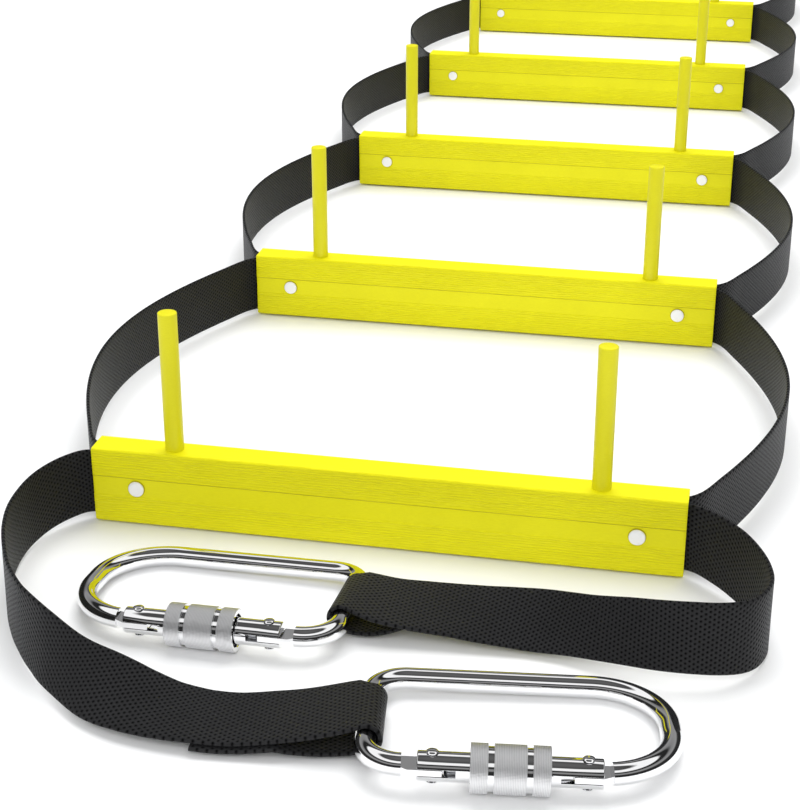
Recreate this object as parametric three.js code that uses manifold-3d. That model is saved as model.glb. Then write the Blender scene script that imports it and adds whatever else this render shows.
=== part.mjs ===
// Escape rope ladder, laid out on a floor: six hollow rungs with stand-off rods, two
// webbing side straps in segments, and two screw-gate carabiners on the lead straps.
// Millimetres, +Z up. The ladder runs along Y, rung 1 (carabiner end) at -Y. The origin is
// on the floor, at the middle of the six rungs.
import * as THREE from 'three';
import { mergeVertices } from 'three/addons/utils/BufferGeometryUtils.js';
import Module from 'manifold-3d';

const wasm = await Module();
wasm.setup();

// ---------------------------------------------------------------- driving dimensions
const RUNG_COUNT = 6;
const RUNG_LENGTH = 250;
const RUNG_HEIGHT = 34;
const RUNG_DEPTH = 14;
const RUNG_WALL = 1.5;
const RUNG_CORNER = 1.2;
const RUNG_PITCH = 252;
const RUNG_LIFT = 1;

const ROD_RADIUS = 4;
const ROD_INSET = 35;
const ROD_STAND_OFF = 61.5;
const ROD_CHAMFER = 0.6;

const RIVET_INSET = 19.3;
const RIVET_HEIGHT = 16.8;
const RIVET_SHANK_RADIUS = 2;
const RIVET_HEAD_RADIUS = 3.6;
const RIVET_HEAD_THICKNESS = 0.9;

const STRAP_WIDTH = 30;
const STRAP_THICKNESS = 1.6;
const STRAP_BULGE = 38;
const STRAP_INSERTION = 24;
const STRAP_LAYER_OFFSET = 2.4;
const STRAP_LIFT = 2.8;

const GAP = 0.3;
const HOLE_CUT_REACH = 10;

// Carabiner, in its own plane: U runs from the strap end to the anchor end, V across from
// the gate side (-V) to the spine (+V), and W is normal to the plane.
const BAR_RADIUS = 4;
const LOOP_HALF_LENGTH = 52.2;
const LOOP_HALF_WIDTH = 29;
const ANCHOR_CORNER = 26;
const STRAP_CORNER = 13;
const NOSE_ANGLE = -83;
const GATE_RADIUS = 5.1;
const GATE_START = -34;
const GATE_END = 27.5;
const HINGE_U = -29;
const LATCH_U = 22.4;
const PIN_RADIUS = 1.5;
const PIN_HEAD_RADIUS = 2.1;
const PIN_HEAD_THICKNESS = 0.85;
const TONGUE_THICKNESS = 2.2;
const TONGUE_RADIUS = 3.6;
const TONGUE_OUTER_EDGE = 4.9;
const FORK_SLOT = 2.8;
const THREAD_RADIUS = 6;
const THREAD_START = -14;
const THREAD_END = 8;
const BORE_RADIUS = 2.6;
const BORE_START = -25.4;
const HINGE_SLOT_END = -21.1;
const LATCH_SLOT_START = 13.4;
const NOSE_TIP = 17.7;
const SPRING_RADIUS = 1.85;
const SPRING_WIRE_RADIUS = 0.35;
const SPRING_START = -15.6;
const PLUNGER_RADIUS = 2;
const PLUNGER_END = -16.4;
const SLEEVE_RADIUS = 8.3;
const SLEEVE_BORE = 6.3;
const SLEEVE_LENGTH = 26.6;
const SLEEVE_CENTRE = -3.2;
const SLEEVE_BAND = 5.9;
const SLEEVE_GROOVE_WIDTH = 2;
const SLEEVE_GROOVE_DEPTH = 0.8;
const LOOP_CLEARANCE = 0.4;

// How each carabiner lies: centre on the floor plan, heading of U in degrees, and the two
// slopes that the sleeve and the strap under the bow give it.
const SLOPE_U = -0.0206;
const SLOPE_V = -0.0676;
const CENTRE_HEIGHT = 6.57;
const FIRST_RUNG_Y = -(RUNG_COUNT - 1) * RUNG_PITCH / 2;
const CARABINER_LAY = {
  left: { x: 76.2, y: FIRST_RUNG_Y - 130.9, heading: 8.7, flipped: false, strapOffset: 0 },
  right: { x: -51.2, y: FIRST_RUNG_Y - 65.3, heading: 178.8, flipped: true, strapOffset: 3 },
};

// Each lead strap from rung 1 to its carabiner. A point is [x, y, z, lean]: y counts from
// rung 1, z is the webbing's middle, and lean is its tilt from upright in degrees, away
// from the reader standing at -Y.
const LEAD_ROUTES = {
  left: [
    [-101, -2.4, 17.8, 0], [-110, -2.4, 17.8, 0], [-119, -2.5, 17.8, 0],
    [-128.9, -4, 17.8, -1], [-135.4, -11.2, 17.5, -2], [-140, -20.2, 17, -2],
    [-142.4, -29.4, 16.5, -2], [-143.1, -40.4, 16.2, -1], [-141.8, -53.8, 16, -1],
    [-137.8, -68.8, 16, 0], [-131.4, -84.4, 16, 1], [-123.2, -99.9, 16, 2],
    [-112.9, -114.1, 16, 5], [-100.6, -126.1, 15.4, 14], [-87.1, -135.5, 13, 33],
    [-73, -141.6, 10.5, 57], [-59.4, -144.8, 8.2, 74], [-46.4, -146.4, 6.4, 83],
    [-33.5, -146.9, 5.8, 87], [-21.5, -146.1, 5.6, 87], [-8, -144.3, 7, 87],
    [6.5, -142.4, 9.5, 88],
  ],
  right: [
    [101, -2.4, 17.8, 0], [110, -2.4, 17.8, 0], [119, -2.5, 17.8, 0], [129, -5.9, 18.6, -2],
    [137.8, -12.4, 18.2, -4], [145.7, -20.6, 17.4, -5], [152.1, -30.3, 16.4, -4],
    [156.8, -40.9, 15.7, -2], [158.8, -52.2, 15.5, 0], [157, -63.2, 15.8, 3],
    [151.8, -72.7, 16.6, 7], [142.9, -78.8, 17.9, 11], [131.7, -81.2, 18.4, 14],
    [119.8, -80.7, 17.8, 19], [108.1, -77.9, 16.4, 25], [97.1, -74.2, 14.3, 33],
    [86.8, -70.1, 12.2, 44], [76.5, -66.6, 10.3, 56], [65.8, -64.5, 9.2, 67],
    [54.1, -64, 8.9, 73], [41.9, -63.9, 9.2, 78], [29.3, -64.2, 9.7, 81],
    [16.6, -64.6, 10.6, 84],
  ],
};
const LEAD_STEPS = 40;
// Webbing narrows where it twists most, at a lean near NARROWEST_LEAN.
const NARROWING = 0.2;
const NARROWEST_LEAN = 36;
const NARROWING_SPREAD = 26;
// The layer under the strap: where it meets the strap, where it ends, how far it is set to
// the reader's side, and how far it sags behind the bow.
const UNDER_LAYER = {
  left: { from: 31, to: 59.6, shift: 1.6 },
  right: { from: 21, to: 50, shift: -2 },
};
const UNDER_SAG = 0.7;

// ---------------------------------------------------------------- materials
function finish(color, roughness, metalness) {
  return () => new THREE.MeshStandardMaterial({ color, roughness, metalness });
}

const yellowPaint = finish('#d9d21f', 0.45, 0.1);
const rivetMetal = finish('#e8e8e6', 0.35, 0.6);
const blackWebbing = finish('#1d1d1f', 0.9, 0);
const chromeSteel = finish('#cfd2d6', 0.12, 1);
const brushedSteel = finish('#b4b6ba', 0.35, 1);
const springSteel = finish('#8d9096', 0.4, 1);

// ---------------------------------------------------------------- solids
function toSolid(geometry) {
  const bare = geometry.clone();
  bare.deleteAttribute('normal');
  bare.deleteAttribute('uv');
  const merged = mergeVertices(bare, 1e-4);
  const mesh = new wasm.Mesh({
    numProp: 3,
    vertProperties: new Float32Array(merged.attributes.position.array),
    triVerts: new Uint32Array(merged.index.array),
  });
  return new wasm.Manifold(mesh);
}

function toGeometry(solid) {
  const mesh = solid.getMesh();
  const geometry = new THREE.BufferGeometry();
  geometry.setAttribute('position', new THREE.BufferAttribute(mesh.vertProperties, 3));
  geometry.setIndex(new THREE.BufferAttribute(mesh.triVerts, 1));
  geometry.computeVertexNormals();
  return geometry;
}

function cut(geometry, tools) {
  let solid = toSolid(geometry);
  for (const tool of tools) {
    solid = solid.subtract(toSolid(tool));
  }
  return toGeometry(solid);
}

function named(name, geometry, material) {
  const mesh = new THREE.Mesh(geometry, material());
  mesh.name = name;
  return mesh;
}

// A turned solid about an axis: profile points are [radius, place along the axis].
function turned(profile, segments, axis) {
  const points = profile.map(([radius, place]) => new THREE.Vector2(radius, place));
  const geometry = new THREE.LatheGeometry(points, segments);
  if (axis === 'x') {
    return geometry.rotateZ(-Math.PI / 2);
  }
  if (axis === 'z') {
    return geometry.rotateX(Math.PI / 2);
  }
  return geometry;
}

function cylinder(radius, start, end, segments, axis) {
  return turned([[0, start], [radius, start], [radius, end], [0, end]], segments, axis);
}

// Extrudes a shape drawn on the Y-Z plane along +X.
function extrudedAlongX(shape, length) {
  const geometry = new THREE.ExtrudeGeometry(shape, {
    depth: length, bevelEnabled: false, curveSegments: 1,
  });
  const basis = new THREE.Matrix4().makeBasis(
    new THREE.Vector3(0, 1, 0),
    new THREE.Vector3(0, 0, 1),
    new THREE.Vector3(1, 0, 0),
  );
  return geometry.applyMatrix4(basis);
}

function roundedRectangle(width, height, radius, Kind) {
  const x = width / 2;
  const y = height / 2;
  const outline = new Kind();
  outline.moveTo(-x + radius, -y);
  outline.lineTo(x - radius, -y);
  outline.absarc(x - radius, -y + radius, radius, -Math.PI / 2, 0, false);
  outline.absarc(x - radius, y - radius, radius, 0, Math.PI / 2, false);
  outline.absarc(-x + radius, y - radius, radius, Math.PI / 2, Math.PI, false);
  outline.absarc(-x + radius, -y + radius, radius, Math.PI, Math.PI * 1.5, false);
  return outline;
}

// A closed sweep. Each station is { point, across, share }, with across a unit direction
// square to the path and share a factor on the width. The section is a loop of offsets,
// [along across, along the surface normal].
function sweep(stations, section) {
  const positions = [];
  const tangent = new THREE.Vector3();
  const normal = new THREE.Vector3();
  const corner = new THREE.Vector3();
  const last = stations.length - 1;
  const count = section.length;
  stations.forEach(({ point, across, share = 1 }, i) => {
    const before = stations[Math.max(i - 1, 0)].point;
    const after = stations[Math.min(i + 1, last)].point;
    tangent.subVectors(after, before).normalize();
    normal.crossVectors(tangent, across).normalize();
    for (const [side, face] of section) {
      corner.copy(point).addScaledVector(across, side * share).addScaledVector(normal, face);
      positions.push(corner.x, corner.y, corner.z);
    }
  });
  const index = [];
  for (let i = 0; i < last; i += 1) {
    for (let j = 0; j < count; j += 1) {
      const a = i * count + j;
      const b = i * count + (j + 1) % count;
      index.push(a, b, b + count, a, b + count, a + count);
    }
  }
  const end = last * count;
  for (let j = 1; j < count - 1; j += 1) {
    index.push(0, j + 1, j, end, end + j, end + j + 1);
  }
  const geometry = new THREE.BufferGeometry();
  geometry.setAttribute('position', new THREE.Float32BufferAttribute(positions, 3));
  geometry.setIndex(index);
  return geometry;
}

function strapSection() {
  const x = STRAP_WIDTH / 2;
  const y = STRAP_THICKNESS / 2;
  return [[-x, -y], [x, -y], [x, y], [-x, y]];
}

function roundSection(radius, sides) {
  return Array.from({ length: sides }, (_, i) => {
    const angle = (i + 0.5) / sides * Math.PI * 2;
    return [radius * Math.cos(angle), radius * Math.sin(angle)];
  });
}

// ---------------------------------------------------------------- rungs, rods and rivets
const rungY = (number) => FIRST_RUNG_Y + (number - 1) * RUNG_PITCH;
const SIDES = { left: -1, right: 1 };

function rungTube() {
  const section = roundedRectangle(RUNG_DEPTH, RUNG_HEIGHT, RUNG_CORNER, THREE.Shape);
  const bore = roundedRectangle(
    RUNG_DEPTH - 2 * RUNG_WALL, RUNG_HEIGHT - 2 * RUNG_WALL, 0.6, THREE.Path,
  );
  section.holes.push(bore);
  const tube = extrudedAlongX(section, RUNG_LENGTH);
  tube.translate(-RUNG_LENGTH / 2, 0, RUNG_HEIGHT / 2);
  const tools = [];
  for (const side of Object.values(SIDES)) {
    const over = RUNG_HEIGHT + HOLE_CUT_REACH;
    const rodHole = cylinder(ROD_RADIUS + 2 * GAP, -HOLE_CUT_REACH, over, 10, 'z');
    rodHole.translate(side * (RUNG_LENGTH / 2 - ROD_INSET), 0, 0);
    const rivetHole = cylinder(RIVET_SHANK_RADIUS + GAP, -RUNG_DEPTH, RUNG_DEPTH, 8, 'y');
    rivetHole.translate(side * (RUNG_LENGTH / 2 - RIVET_INSET), 0, RIVET_HEIGHT);
    tools.push(rodHole, rivetHole);
  }
  return cut(tube, tools);
}

function standOffRod() {
  const top = RUNG_LIFT + RUNG_HEIGHT + ROD_STAND_OFF;
  const inner = ROD_RADIUS - ROD_CHAMFER;
  const profile = [
    [0, 0], [inner, 0], [ROD_RADIUS, ROD_CHAMFER], [ROD_RADIUS, top - ROD_CHAMFER],
    [inner, top], [0, top],
  ];
  return turned(profile, 12, 'z');
}

function rungRivet() {
  const face = RUNG_DEPTH / 2 + GAP;
  const back = face + RIVET_HEAD_THICKNESS;
  const profile = [
    [0, -back], [RIVET_HEAD_RADIUS - 0.4, -back], [RIVET_HEAD_RADIUS, -back + 0.4],
    [RIVET_HEAD_RADIUS, -face], [RIVET_SHANK_RADIUS, -face], [RIVET_SHANK_RADIUS, face],
    [RIVET_HEAD_RADIUS - 0.6, face], [RIVET_HEAD_RADIUS - 0.6, back], [0, back],
  ];
  return turned(profile, 10, 'y');
}

// ---------------------------------------------------------------- webbing
// The strap's outward bulge between two rungs, share from 0 to 1 along the gap.
function bulge(share) {
  return STRAP_BULGE * Math.sin(Math.PI * share) ** 0.92;
}

// Centreline of one gap segment on the +X side, from rung 0 to rung 1 at Y 0 and one pitch.
function gapCentreline(endsAtTop) {
  const mouth = RUNG_LENGTH / 2;
  const inside = mouth - STRAP_INSERTION;
  const points = [];
  const foldSteps = 4;
  for (let i = 0; i <= foldSteps; i += 1) {
    const angle = -Math.PI / 2 - Math.PI * i / foldSteps;
    const x = inside - 3 + STRAP_LAYER_OFFSET * Math.cos(angle);
    points.push([x, STRAP_LAYER_OFFSET * Math.sin(angle)]);
  }
  points.push([mouth - 14, STRAP_LAYER_OFFSET], [mouth - 2, STRAP_LAYER_OFFSET + 0.2]);
  const bulgeSteps = 15;
  for (let i = 1; i < bulgeSteps; i += 1) {
    const share = 0.03 + 0.94 * (i - 1) / (bulgeSteps - 2);
    points.push([mouth + bulge(share), share * RUNG_PITCH]);
  }
  const topEnd = endsAtTop ? inside - 2 : inside;
  points.push([mouth - 2, RUNG_PITCH - STRAP_LAYER_OFFSET - 0.2]);
  points.push([mouth - 14, RUNG_PITCH - STRAP_LAYER_OFFSET]);
  points.push([topEnd, RUNG_PITCH - STRAP_LAYER_OFFSET]);
  return points;
}

function rivetHoles(rungPlaces, side) {
  return rungPlaces.map((y) => {
    const hole = cylinder(RIVET_SHANK_RADIUS + GAP, -RUNG_DEPTH, RUNG_DEPTH, 8, 'y');
    hole.translate(side * (RUNG_LENGTH / 2 - RIVET_INSET), y, RUNG_LIFT + RIVET_HEIGHT);
    return hole;
  });
}

// The segment from one rung to the next, standing on edge.
function gapStrap(number, side) {
  const centre = STRAP_LIFT + STRAP_WIDTH / 2;
  const up = new THREE.Vector3(0, 0, 1);
  const start = rungY(number);
  const stations = gapCentreline(number === RUNG_COUNT - 1).map(([x, y]) => ({
    point: new THREE.Vector3(side * x, start + y, centre),
    across: up,
  }));
  const strap = sweep(stations, strapSection());
  return cut(strap, rivetHoles([start, start + RUNG_PITCH], side));
}

// ---------------------------------------------------------------- carabiner placing
function carabinerBasis({ heading, flipped }) {
  const angle = THREE.MathUtils.degToRad(heading);
  const u = new THREE.Vector3(Math.cos(angle), Math.sin(angle), SLOPE_U).normalize();
  const turn = flipped ? -1 : 1;
  const v = new THREE.Vector3(-Math.sin(angle) * turn, Math.cos(angle) * turn, SLOPE_V);
  v.addScaledVector(u, -v.dot(u)).normalize();
  const w = new THREE.Vector3().crossVectors(u, v);
  return { u, v, w };
}

function carabinerPlace(lay) {
  return new THREE.Vector3(lay.x, lay.y, CENTRE_HEIGHT);
}

// ---------------------------------------------------------------- lead straps
// Stations along the hand-set route, then round the carabiner's bow, then back underneath.
function leadStations(side) {
  const route = LEAD_ROUTES[side];
  const lay = CARABINER_LAY[side];
  const { u, v } = carabinerBasis(lay);
  const bow = carabinerPlace(lay);
  bow.addScaledVector(u, -LOOP_HALF_LENGTH).addScaledVector(v, lay.strapOffset);
  const loopRadius = BAR_RADIUS + LOOP_CLEARANCE + STRAP_THICKNESS / 2;
  const up = new THREE.Vector3(0, 0, 1);
  const level = new THREE.Vector3(u.x, u.y, 0).normalize();
  const points = route.map(([x, y, z]) => new THREE.Vector3(x, FIRST_RUNG_Y + y, z));
  points.push(bow.clone().addScaledVector(up, loopRadius).addScaledVector(level, -3.2));
  const leans = [...route.map((entry) => entry[3]), 90];
  const curve = new THREE.CatmullRomCurve3(points, false, 'centripetal');
  const away = side === 'left' ? 1 : -1;

  const main = [];
  for (let i = 0; i <= LEAD_STEPS; i += 1) {
    const share = i / LEAD_STEPS;
    const place = share * (points.length - 1);
    const low = Math.min(Math.floor(place), points.length - 2);
    const lean = THREE.MathUtils.lerp(leans[low], leans[low + 1], place - low);
    const tangent = curve.getTangent(share);
    const flat = new THREE.Vector3(-tangent.y, tangent.x, 0).normalize();
    const angle = THREE.MathUtils.degToRad(lean);
    const across = up.clone().multiplyScalar(Math.cos(angle));
    across.addScaledVector(flat, Math.sin(angle) * away);
    across.addScaledVector(tangent, -across.dot(tangent)).normalize();
    const twist = ((lean - NARROWEST_LEAN) / NARROWING_SPREAD) ** 2;
    main.push({ point: curve.getPoint(share), across, share: 1 - NARROWING * Math.exp(-twist) });
  }

  const acrossBow = v.clone().multiplyScalar(Math.sign(v.y));
  const wrap = [];
  const wrapSteps = 7;
  for (let i = 0; i <= wrapSteps; i += 1) {
    const angle = Math.PI / 2 - Math.PI * i / wrapSteps;
    const point = bow.clone().addScaledVector(level, loopRadius * Math.cos(angle));
    point.addScaledVector(up, loopRadius * Math.sin(angle));
    wrap.push({ point, across: acrossBow.clone() });
  }

  const spacing = STRAP_THICKNESS + GAP + 0.1;
  const { from, to, shift } = UNDER_LAYER[side];
  const lower = [];
  for (let i = LEAD_STEPS; i > LEAD_STEPS / 2; i -= 1) {
    const { point, across, share } = main[i];
    const reach = Math.hypot(point.x - bow.x, point.y - bow.y);
    if (reach >= from && reach <= to) {
      const tangent = curve.getTangent(i / LEAD_STEPS);
      const under = new THREE.Vector3().crossVectors(tangent, across).normalize();
      under.multiplyScalar(under.z > 0 ? -spacing : spacing);
      under.addScaledVector(across, -shift);
      lower.push({ point: point.clone().add(under), across: across.clone(), share });
    }
  }
  const bottom = wrap[wrapSteps].point;
  const first = lower[0];
  const run = [];
  for (const share of [0.3, 0.65]) {
    const point = bottom.clone().lerp(first.point, share);
    point.z = THREE.MathUtils.lerp(bottom.z, first.point.z, share * share);
    point.z -= UNDER_SAG * Math.sin(Math.PI * share);
    const across = acrossBow.clone().lerp(first.across, share).normalize();
    run.push({ point, across });
  }
  return [...main, ...wrap, ...run, ...lower];
}

function leadStrap(side) {
  const strap = sweep(leadStations(side), strapSection());
  return cut(strap, rivetHoles([FIRST_RUNG_Y], SIDES[side]));
}

// ---------------------------------------------------------------- carabiner pieces
// Stations of the bar's centreline, from the nose round the anchor bow, the spine and the
// strap bow to the hinge. The straights need none of their own between two arcs.
function barStations() {
  const stations = [];
  const arc = (cx, cy, radius, from, to) => {
    const steps = 6;
    for (let i = 0; i <= steps; i += 1) {
      const angle = THREE.MathUtils.degToRad(THREE.MathUtils.lerp(from, to, i / steps));
      const across = new THREE.Vector3(Math.cos(angle), Math.sin(angle), 0);
      const point = across.clone().multiplyScalar(radius).add(new THREE.Vector3(cx, cy, 0));
      stations.push({ point, across });
    }
  };
  const anchorU = LOOP_HALF_LENGTH - ANCHOR_CORNER;
  const anchorV = LOOP_HALF_WIDTH - ANCHOR_CORNER;
  const strapU = -(LOOP_HALF_LENGTH - STRAP_CORNER);
  const strapV = LOOP_HALF_WIDTH - STRAP_CORNER;
  arc(anchorU, -anchorV, ANCHOR_CORNER, NOSE_ANGLE, 0);
  arc(anchorU, anchorV, ANCHOR_CORNER, 0, 90);
  arc(strapU, strapV, STRAP_CORNER, 90, 180);
  arc(strapU, -strapV, STRAP_CORNER, 180, 270);
  return stations;
}

// A plate in the carabiner's plane, centred on it in thickness.
function plate(shape, thickness) {
  const geometry = new THREE.ExtrudeGeometry(shape, {
    depth: thickness, bevelEnabled: false, curveSegments: 8,
  });
  return geometry.translate(0, 0, -thickness / 2);
}

// The outer edge stands out to the gate's skin; the inner side is round about the pin.
function hingeTongue() {
  const shape = new THREE.Shape();
  const barEnd = -(LOOP_HALF_LENGTH - STRAP_CORNER);
  const root = barEnd - 2;
  const outer = -LOOP_HALF_WIDTH - TONGUE_OUTER_EDGE;
  shape.moveTo(root, -LOOP_HALF_WIDTH - TONGUE_RADIUS);
  shape.lineTo(barEnd, -LOOP_HALF_WIDTH - TONGUE_RADIUS);
  shape.lineTo(barEnd + 2, outer);
  shape.lineTo(HINGE_U + TONGUE_RADIUS, outer);
  shape.lineTo(HINGE_U + TONGUE_RADIUS, -LOOP_HALF_WIDTH);
  shape.absarc(HINGE_U, -LOOP_HALF_WIDTH, TONGUE_RADIUS, 0, Math.PI / 2, false);
  shape.lineTo(root, -LOOP_HALF_WIDTH + TONGUE_RADIUS);
  return plate(shape, TONGUE_THICKNESS);
}

// The notch for the latch pin is open on the inner side, so the gate can swing in.
function noseTongue() {
  const shape = new THREE.Shape();
  const root = 31;
  const inner = -LOOP_HALF_WIDTH + TONGUE_RADIUS;
  const outer = -LOOP_HALF_WIDTH - TONGUE_OUTER_EDGE;
  const notch = PIN_RADIUS + 2 * GAP;
  shape.moveTo(root, -LOOP_HALF_WIDTH - 3);
  shape.lineTo(root, inner - 0.2);
  shape.lineTo(LATCH_U + notch, inner - 0.2);
  shape.lineTo(LATCH_U + notch, -LOOP_HALF_WIDTH);
  shape.absarc(LATCH_U, -LOOP_HALF_WIDTH, notch, 0, -Math.PI, true);
  shape.lineTo(LATCH_U - notch, inner - 1.2);
  shape.lineTo(NOSE_TIP, inner - 1.2);
  shape.lineTo(NOSE_TIP, outer);
  shape.lineTo(GATE_END, outer);
  return plate(shape, TONGUE_THICKNESS);
}

function carabinerBody() {
  const bar = toSolid(sweep(barStations(), roundSection(BAR_RADIUS, 10)));
  const whole = bar.add(toSolid(hingeTongue())).add(toSolid(noseTongue()));
  const pinHole = cylinder(PIN_RADIUS + GAP, -HOLE_CUT_REACH, HOLE_CUT_REACH, 12, 'z');
  pinHole.translate(HINGE_U, -LOOP_HALF_WIDTH, 0);
  return toGeometry(whole.subtract(toSolid(pinHole)));
}

// A slot for a tongue, right across the gate between two places along U.
function forkSlot(u0, u1) {
  const geometry = new THREE.BoxGeometry(u1 - u0, 3 * GATE_RADIUS, FORK_SLOT);
  return geometry.translate((u0 + u1) / 2, 0, 0);
}

function carabinerGate() {
  const edge = 0.5;
  const profile = [
    [0, GATE_START], [GATE_RADIUS - edge, GATE_START], [GATE_RADIUS, GATE_START + edge],
    [GATE_RADIUS, THREAD_START], [THREAD_RADIUS, THREAD_START + 0.6],
    [THREAD_RADIUS, THREAD_END - 0.6], [GATE_RADIUS, THREAD_END],
    [GATE_RADIUS, GATE_END - edge], [GATE_RADIUS - edge, GATE_END], [0, GATE_END],
  ];
  const tube = turned(profile, 16, 'x');
  const tools = [
    forkSlot(GATE_START - 2, HINGE_SLOT_END),
    forkSlot(LATCH_SLOT_START, GATE_END + 2),
    cylinder(BORE_RADIUS, BORE_START, THREAD_END, 12, 'x'),
  ];
  for (const place of [HINGE_U, LATCH_U]) {
    const hole = cylinder(PIN_RADIUS + GAP, -HOLE_CUT_REACH, HOLE_CUT_REACH, 12, 'z');
    tools.push(hole.translate(place, 0, 0));
  }
  return cut(tube, tools).translate(0, -LOOP_HALF_WIDTH, 0);
}

function gatePin(place) {
  const base = GATE_RADIUS + 0.15;
  const top = base + PIN_HEAD_THICKNESS;
  const half = [
    [PIN_RADIUS, base], [PIN_HEAD_RADIUS, base], [PIN_HEAD_RADIUS - 0.2, top - 0.45],
    [PIN_HEAD_RADIUS - 0.9, top - 0.1], [0, top],
  ];
  const mirrored = half.map(([radius, z]) => [radius, -z]).reverse();
  const pin = turned([...mirrored, ...half], 12, 'z');
  return pin.translate(place, -LOOP_HALF_WIDTH, 0);
}

function screwSleeve() {
  const half = SLEEVE_LENGTH / 2;
  const groove = SLEEVE_RADIUS - SLEEVE_GROOVE_DEPTH;
  const start = -half + SLEEVE_BAND;
  const end = start + SLEEVE_GROOVE_WIDTH;
  const profile = [[SLEEVE_BORE, -half]];
  const outline = [
    [SLEEVE_RADIUS - 0.5, -half], [SLEEVE_RADIUS, -half + 0.5], [SLEEVE_RADIUS, start],
    [groove, start], [groove, end], [SLEEVE_RADIUS, end],
  ];
  const mirrored = outline.map(([radius, place]) => [radius, -place]).reverse();
  profile.push(...outline, ...mirrored, [SLEEVE_BORE, half], [SLEEVE_BORE, -half]);
  return turned(profile, 16, 'x').translate(SLEEVE_CENTRE, -LOOP_HALF_WIDTH, 0);
}

function returnSpring() {
  const turns = 5;
  const stepsPerTurn = 8;
  const stations = [];
  for (let i = 0; i <= turns * stepsPerTurn; i += 1) {
    const share = i / (turns * stepsPerTurn);
    const angle = share * turns * Math.PI * 2;
    const across = new THREE.Vector3(0, Math.cos(angle), Math.sin(angle));
    const point = across.clone().multiplyScalar(SPRING_RADIUS);
    point.x = THREE.MathUtils.lerp(SPRING_START, THREAD_END - 0.8, share);
    stations.push({ point, across });
  }
  const wire = sweep(stations, roundSection(SPRING_WIRE_RADIUS, 5));
  return wire.translate(0, -LOOP_HALF_WIDTH, 0);
}

function gatePlunger() {
  const tip = HINGE_U + TONGUE_RADIUS + GAP;
  const profile = [
    [0, tip], [PLUNGER_RADIUS - 1, tip], [PLUNGER_RADIUS, tip + 1],
    [PLUNGER_RADIUS, PLUNGER_END], [0, PLUNGER_END],
  ];
  return turned(profile, 12, 'x').translate(0, -LOOP_HALF_WIDTH, 0);
}

function carabiner(side) {
  const lay = CARABINER_LAY[side];
  const { u, v, w } = carabinerBasis(lay);
  const group = new THREE.Group();
  group.matrixAutoUpdate = false;
  group.matrix.makeBasis(u, v, w).setPosition(carabinerPlace(lay));
  group.add(named(`${side}_carabiner_body`, carabinerBody(), chromeSteel));
  group.add(named(`${side}_carabiner_gate`, carabinerGate(), chromeSteel));
  group.add(named(`${side}_gate_hinge_rivet`, gatePin(HINGE_U), chromeSteel));
  group.add(named(`${side}_gate_latch_rivet`, gatePin(LATCH_U), chromeSteel));
  group.add(named(`${side}_screw_sleeve`, screwSleeve(), brushedSteel));
  group.add(named(`${side}_gate_spring`, returnSpring(), springSteel));
  group.add(named(`${side}_gate_plunger`, gatePlunger(), springSteel));
  return group;
}

// ---------------------------------------------------------------- assembly
const ladder = new THREE.Group();

for (let number = 1; number <= RUNG_COUNT; number += 1) {
  const rung = named(`rung_${number}`, rungTube(), yellowPaint);
  rung.position.set(0, rungY(number), RUNG_LIFT);
  ladder.add(rung);
  for (const [side, sign] of Object.entries(SIDES)) {
    const rod = named(`rung_${number}_${side}_standoff_rod`, standOffRod(), yellowPaint);
    rod.position.set(sign * (RUNG_LENGTH / 2 - ROD_INSET), rungY(number), 0);
    const rivet = named(`rung_${number}_${side}_rivet`, rungRivet(), rivetMetal);
    const rivetX = sign * (RUNG_LENGTH / 2 - RIVET_INSET);
    rivet.position.set(rivetX, rungY(number), RUNG_LIFT + RIVET_HEIGHT);
    ladder.add(rod, rivet);
  }
}

for (const [side, sign] of Object.entries(SIDES)) {
  for (let number = 1; number < RUNG_COUNT; number += 1) {
    const name = `${side}_side_strap_${number}`;
    ladder.add(named(name, gapStrap(number, sign), blackWebbing));
  }
  ladder.add(named(`${side}_lead_strap`, leadStrap(side), blackWebbing));
  ladder.add(carabiner(side));
}

export default ladder;
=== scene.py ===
import math

import bpy
import numpy as np
from mathutils import Matrix, Quaternion, Vector


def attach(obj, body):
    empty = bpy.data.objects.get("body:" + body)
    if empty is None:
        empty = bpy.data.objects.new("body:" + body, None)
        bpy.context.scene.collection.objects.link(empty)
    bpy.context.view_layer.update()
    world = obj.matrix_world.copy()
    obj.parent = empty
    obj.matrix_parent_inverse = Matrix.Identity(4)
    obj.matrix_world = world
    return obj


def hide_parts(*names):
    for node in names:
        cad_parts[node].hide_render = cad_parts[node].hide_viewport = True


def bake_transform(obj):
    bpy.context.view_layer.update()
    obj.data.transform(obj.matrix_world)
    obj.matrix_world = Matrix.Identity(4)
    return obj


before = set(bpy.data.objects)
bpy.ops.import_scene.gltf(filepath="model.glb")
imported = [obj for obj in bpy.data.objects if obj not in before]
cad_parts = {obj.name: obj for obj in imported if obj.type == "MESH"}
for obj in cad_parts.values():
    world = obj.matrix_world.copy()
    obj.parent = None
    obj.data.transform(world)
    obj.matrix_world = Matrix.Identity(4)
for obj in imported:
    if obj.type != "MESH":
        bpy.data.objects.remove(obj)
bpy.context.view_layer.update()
rng = np.random.default_rng(7)

MM = 0.001
SIDES = {"left": -1, "right": 1}

# ---------------------------------------------------------------- camera and rung spacing
FIRST_RUNG_Y = -0.630
PITCH = 0.252
RUNGS = 6


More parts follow.
